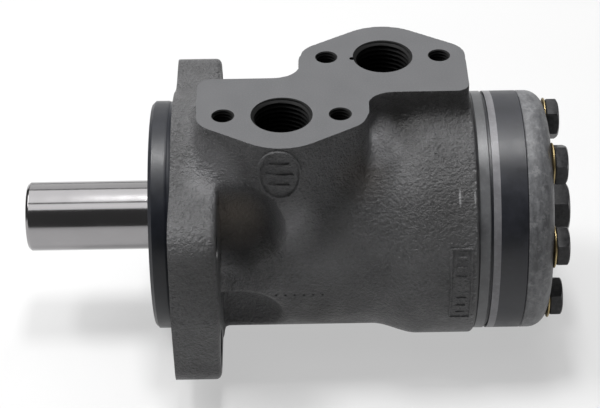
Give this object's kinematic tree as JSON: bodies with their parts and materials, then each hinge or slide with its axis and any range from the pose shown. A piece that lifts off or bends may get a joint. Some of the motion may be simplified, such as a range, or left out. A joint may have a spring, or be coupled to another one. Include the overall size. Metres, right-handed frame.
{
  "type": "hydraulic motor",
  "caption": "Compact low-speed orbital hydraulic motor with a flanged cast housing, keyway shaft, diagonal threaded ports on a flat top face and a bolted end cover.",
  "frame": {"origin": "centre of the mounting flange's front face, on the shaft axis", "axes": "+X along the shaft axis towards the end cover, so the shaft points along -X; +Z out of the port face; +Y to the side, from the front port towards the rear port"},
  "size_m": [0.196, 0.124, 0.0995],
  "materials": {
    "cast_housing": "as-cast, dark phosphate coat, machined on the port face and spigot",
    "ground_steel": "ground and lightly oiled",
    "dark_steel": "black oxide, turned",
    "cover_steel": "mottled phosphate over a turned face",
    "black_fastener": "black oxide",
    "yellow_washer": "yellow zinc, dull",
    "seal_rubber": "satin nitrile",
    "ptfe_ring": "matt",
    "cage_steel": "pressed sheet"
  },
  "bodies": {
    "motor_body": {"housing": "cast_housing", "dust_seal": "seal_rubber", "shaft_seal": "seal_rubber", "seal_backup_ring": "ptfe_ring", "thrust_race_front": "ground_steel", "spacer_plate": "cover_steel", "geroler_ring": "dark_steel", "end_cover": "cover_steel", "cover_bolts": "black_fastener", "cover_washers": "yellow_washer", "centre_plug": "black_fastener", "plug_seal": "yellow_washer", "plate_oring": "seal_rubber", "ring_oring": "seal_rubber", "cover_oring": "seal_rubber", "check_seat_left": "ground_steel", "check_seat_right": "ground_steel"},
    "shaft": {"output_shaft": "ground_steel", "thrust_race_rear": "ground_steel"},
    "needle_bearing": {"needle_cage": "cage_steel", "thrust_needles": "ground_steel"},
    "orbit": {"drive_spacer": "ground_steel"},
    "rotor": {"rotor": "ground_steel"},
    "cardan": {"cardan_shaft": "ground_steel"},
    "roller_1": {"roller_1": "ground_steel"},
    "roller_2": {"roller_2": "ground_steel"},
    "roller_3": {"roller_3": "ground_steel"},
    "roller_4": {"roller_4": "ground_steel"},
    "roller_5": {"roller_5": "ground_steel"},
    "roller_6": {"roller_6": "ground_steel"},
    "roller_7": {"roller_7": "ground_steel"},
    "ball_left": {"check_ball_left": "ground_steel"},
    "ball_right": {"check_ball_right": "ground_steel"}
  },
  "joints": [
    {"name": "shaft_spin", "type": "hinge", "parent": "motor_body", "child": "shaft", "pos_m": [0, 0, 0], "axis": [1, 0, 0], "continuous": true},
    {"name": "bearing_spin", "type": "hinge", "parent": "motor_body", "child": "needle_bearing", "pos_m": [0.015, 0, 0], "axis": [1, 0, 0], "continuous": true},
    {"name": "rotor_orbit", "type": "hinge", "parent": "motor_body", "child": "orbit", "pos_m": [0.1165, 0, 0], "axis": [1, 0, 0], "continuous": true},
    {"name": "rotor_spin", "type": "hinge", "parent": "orbit", "child": "rotor", "pos_m": [0.1165, 0, -0.00275], "axis": [1, 0, 0], "continuous": true},
    {"name": "cardan_spin", "type": "hinge", "parent": "orbit", "child": "cardan", "pos_m": [0.0655, 0, 0], "axis": [0.9985, 0, -0.0538], "continuous": true},
    {"name": "roller_1_spin", "type": "hinge", "parent": "motor_body", "child": "roller_1", "pos_m": [0.1165, 0, 0.0265], "axis": [1, 0, 0], "continuous": true},
    {"name": "roller_2_spin", "type": "hinge", "parent": "motor_body", "child": "roller_2", "pos_m": [0.1165, -0.02072, 0.01652], "axis": [1, 0, 0], "continuous": true},
    {"name": "roller_3_spin", "type": "hinge", "parent": "motor_body", "child": "roller_3", "pos_m": [0.1165, -0.02584, -0.0059], "axis": [1, 0, 0], "continuous": true},
    {"name": "roller_4_spin", "type": "hinge", "parent": "motor_body", "child": "roller_4", "pos_m": [0.1165, -0.0115, -0.02388], "axis": [1, 0, 0], "continuous": true},
    {"name": "roller_5_spin", "type": "hinge", "parent": "motor_body", "child": "roller_5", "pos_m": [0.1165, 0.0115, -0.02388], "axis": [1, 0, 0], "continuous": true},
    {"name": "roller_6_spin", "type": "hinge", "parent": "motor_body", "child": "roller_6", "pos_m": [0.1165, 0.02584, -0.0059], "axis": [1, 0, 0], "continuous": true},
    {"name": "roller_7_spin", "type": "hinge", "parent": "motor_body", "child": "roller_7", "pos_m": [0.1165, 0.02072, 0.01652], "axis": [1, 0, 0], "continuous": true},
    {"name": "ball_left_lift", "type": "slide", "parent": "motor_body", "child": "ball_left", "axis": [-1, 0, 0], "range_m": [0, 0.002]},
    {"name": "ball_right_lift", "type": "slide", "parent": "motor_body", "child": "ball_right", "axis": [-1, 0, 0], "range_m": [0, 0.002]}
  ],
  "couplings": [
    {"joint": "bearing_spin", "follows": "shaft_spin", "ratio": 0.5},
    {"joint": "rotor_orbit", "follows": "shaft_spin", "ratio": -6},
    {"joint": "rotor_spin", "follows": "shaft_spin", "ratio": 7},
    {"joint": "cardan_spin", "follows": "shaft_spin", "ratio": 7},
    {"joint": "roller_1_spin", "follows": "shaft_spin", "ratio": -4.002},
    {"joint": "roller_2_spin", "follows": "shaft_spin", "ratio": -4.002},
    {"joint": "roller_3_spin", "follows": "shaft_spin", "ratio": -4.002},
    {"joint": "roller_4_spin", "follows": "shaft_spin", "ratio": -4.002},
    {"joint": "roller_5_spin", "follows": "shaft_spin", "ratio": -4.002},
    {"joint": "roller_6_spin", "follows": "shaft_spin", "ratio": -4.002},
    {"joint": "roller_7_spin", "follows": "shaft_spin", "ratio": -4.002}
  ]
}
